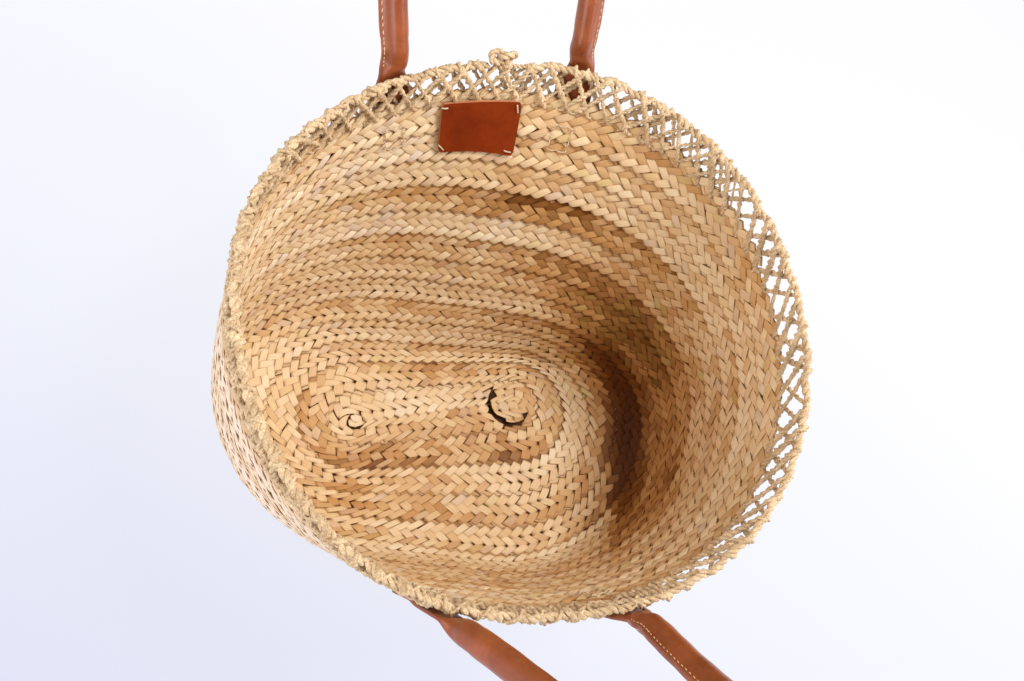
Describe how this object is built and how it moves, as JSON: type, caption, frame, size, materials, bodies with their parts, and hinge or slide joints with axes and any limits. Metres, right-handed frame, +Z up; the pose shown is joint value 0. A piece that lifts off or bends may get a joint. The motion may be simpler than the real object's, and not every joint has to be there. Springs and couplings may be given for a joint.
{
  "type": "market basket",
  "caption": "Soft plaited palm-leaf market basket with an oval floor, an open-work rim with a rope edge, and rolled leather handles that fold over the mouth or hang outside.",
  "frame": {"origin": "on the underside of the floor, under the middle of the return pass of the strip", "axes": "+X along the long axis of the floor, +Y to the back wall that carries the label, +Z up"},
  "size_m": [0.473, 0.6057, 0.5066],
  "materials": {
    "plait": "dry plaited palm leaf, matt with a faint sheen",
    "cord": "twisted plant-fibre cord, matt",
    "handle_leather": "smooth tan leather, soft sheen",
    "label_leather": "smooth brown leather with a raw edge",
    "thread": "pale waxed thread"
  },
  "bodies": {
    "basket": {"floor_start_pass": "plait", "floor_return_pass": "plait", "floor_round_2": "plait", "floor_round_3": "plait", "wall_round_01": "plait", "wall_round_02": "plait", "wall_round_03": "plait", "wall_round_04": "plait", "wall_round_05": "plait", "wall_round_06": "plait", "wall_round_07": "plait", "wall_round_08": "plait", "wall_round_09": "plait", "wall_round_10": "plait", "joint_cord_centre": "cord", "joint_cord_01": "cord", "joint_cord_02": "cord", "joint_cord_03": "cord", "joint_cord_04": "cord", "joint_cord_05": "cord", "joint_cord_06": "cord", "joint_cord_07": "cord", "joint_cord_08": "cord", "joint_cord_09": "cord", "joint_cord_10": "cord", "joint_cord_11": "cord", "joint_cord_12": "cord", "openwork_cord_1": "cord", "openwork_cord_2": "cord", "openwork_cord_3": "cord", "rim_rope": "cord", "rope_end_knot": "cord", "handle_back_left_tab": "handle_leather", "handle_back_left_outer_thread": "thread", "handle_back_left_inner_thread": "thread", "handle_back_right_tab": "handle_leather", "handle_back_right_outer_thread": "thread", "handle_back_right_inner_thread": "thread", "handle_front_left_tab": "handle_leather", "handle_front_left_outer_thread": "thread", "handle_front_left_inner_thread": "thread", "handle_front_right_tab": "handle_leather", "handle_front_right_outer_thread": "thread", "handle_front_right_inner_thread": "thread", "label_patch": "label_leather", "label_stitch_1": "thread", "label_stitch_2": "thread", "label_stitch_3": "thread", "label_stitch_4": "thread"},
    "back_handle": {"handle_back_leather": "handle_leather", "handle_back_core": "cord"},
    "front_handle": {"handle_front_leather": "handle_leather", "handle_front_core": "cord"}
  },
  "joints": [
    {"name": "back_handle_hinge", "type": "hinge", "parent": "basket", "child": "back_handle", "pos_m": [-0.05957, 0.21646, 0.33485], "axis": [0.9511, 0.2891, 0.1091], "range_deg": [-114, 106]},
    {"name": "front_handle_hinge", "type": "hinge", "parent": "basket", "child": "front_handle", "pos_m": [0.03572, -0.20204, 0.29436], "axis": [-0.9844, -0.1031, 0.1423], "range_deg": [-121, 99]}
  ]
}
